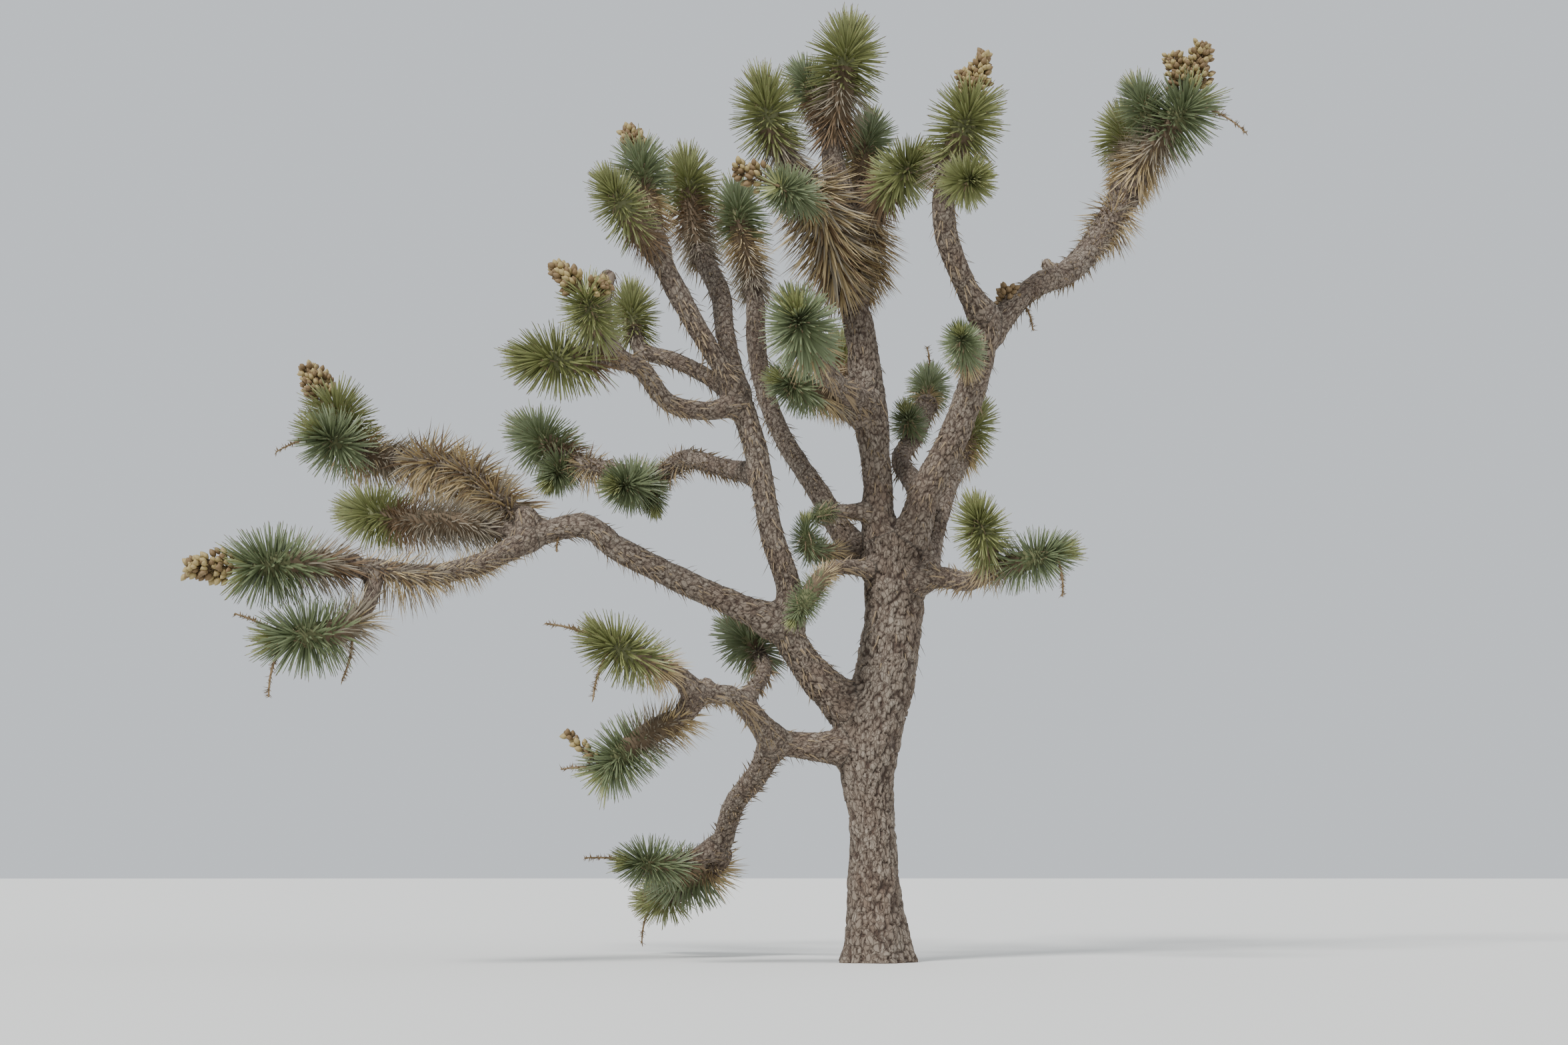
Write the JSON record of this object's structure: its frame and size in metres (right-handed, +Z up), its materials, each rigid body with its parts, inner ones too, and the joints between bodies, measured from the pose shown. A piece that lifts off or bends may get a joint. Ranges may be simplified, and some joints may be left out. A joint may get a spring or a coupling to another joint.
{
  "type": "joshua tree",
  "caption": "Branching desert tree yucca with a leaning trunk, crooked boughs, spiky heads of dagger leaves and seed capsule clusters, rooted in level ground.",
  "frame": {"origin": "middle of the flat cut under the trunk, at ground level", "axes": "+Z up along the trunk, +X to the right of the picture, +Y away from its camera"},
  "size_m": [6.2678, 3.2081, 5.8569],
  "materials": {
    "bark": "rough grey-brown fibrous bark, cracked into small plates and shaggy where old leaves hang",
    "leaves": "stiff waxy grey-green dagger leaves, with dead straw-grey ones lying back below them"
  },
  "bodies": {
    "root": {"back_left_bough": "bark", "back_left_leaves": "leaves", "back_left_lower_leaves": "leaves", "back_middle_leaves": "leaves", "back_right_bough": "bark", "back_right_leaves": "leaves", "back_right_lower_leaves": "leaves", "big_left_bough": "bark", "central_bough": "bark", "crooked_left_bough": "bark", "crooked_left_leaves": "leaves", "crooked_left_top_leaves": "leaves", "far_right_bough": "bark", "far_right_inner_leaves": "leaves", "far_right_leaves": "leaves", "front_ball_leaves": "leaves", "front_bud_leaves": "leaves", "hook_leaves": "leaves", "inner_left_bough": "bark", "inner_left_leaves": "leaves", "left_fork_stub": "bark", "left_front_leaves": "leaves", "left_hanging_leaves": "leaves", "left_lower_arm": "bark", "left_middle_leaves": "leaves", "left_top_leaves": "leaves", "left_upper_arm": "bark", "link_leaves": "leaves", "long_left_bough": "bark", "loop_leaves": "leaves", "low_left_back_bough": "bark", "low_left_back_leaves": "leaves", "low_left_bough": "bark", "low_left_front_bough": "bark", "low_left_front_leaves": "leaves", "low_left_hanging_leaves": "leaves", "low_left_inner_leaves": "leaves", "low_left_side_leaves": "leaves", "low_right_bough": "bark", "low_right_front_leaves": "leaves", "low_right_leaves": "leaves", "right_bough": "bark", "right_middle_leaves": "leaves", "right_side_leaves": "leaves", "second_left_bough": "bark", "second_left_leaves": "leaves", "top_leaves": "leaves", "top_left_leaves": "leaves", "top_right_leaves": "leaves", "trunk": "bark", "under_fork_leaves": "leaves", "upper_left_bough": "bark", "upper_left_leaves": "leaves", "upper_left_top_leaves": "leaves", "upper_right_bough": "bark", "upper_right_leaves": "leaves", "upright_left_bough": "bark"}
  },
  "joints": []
}
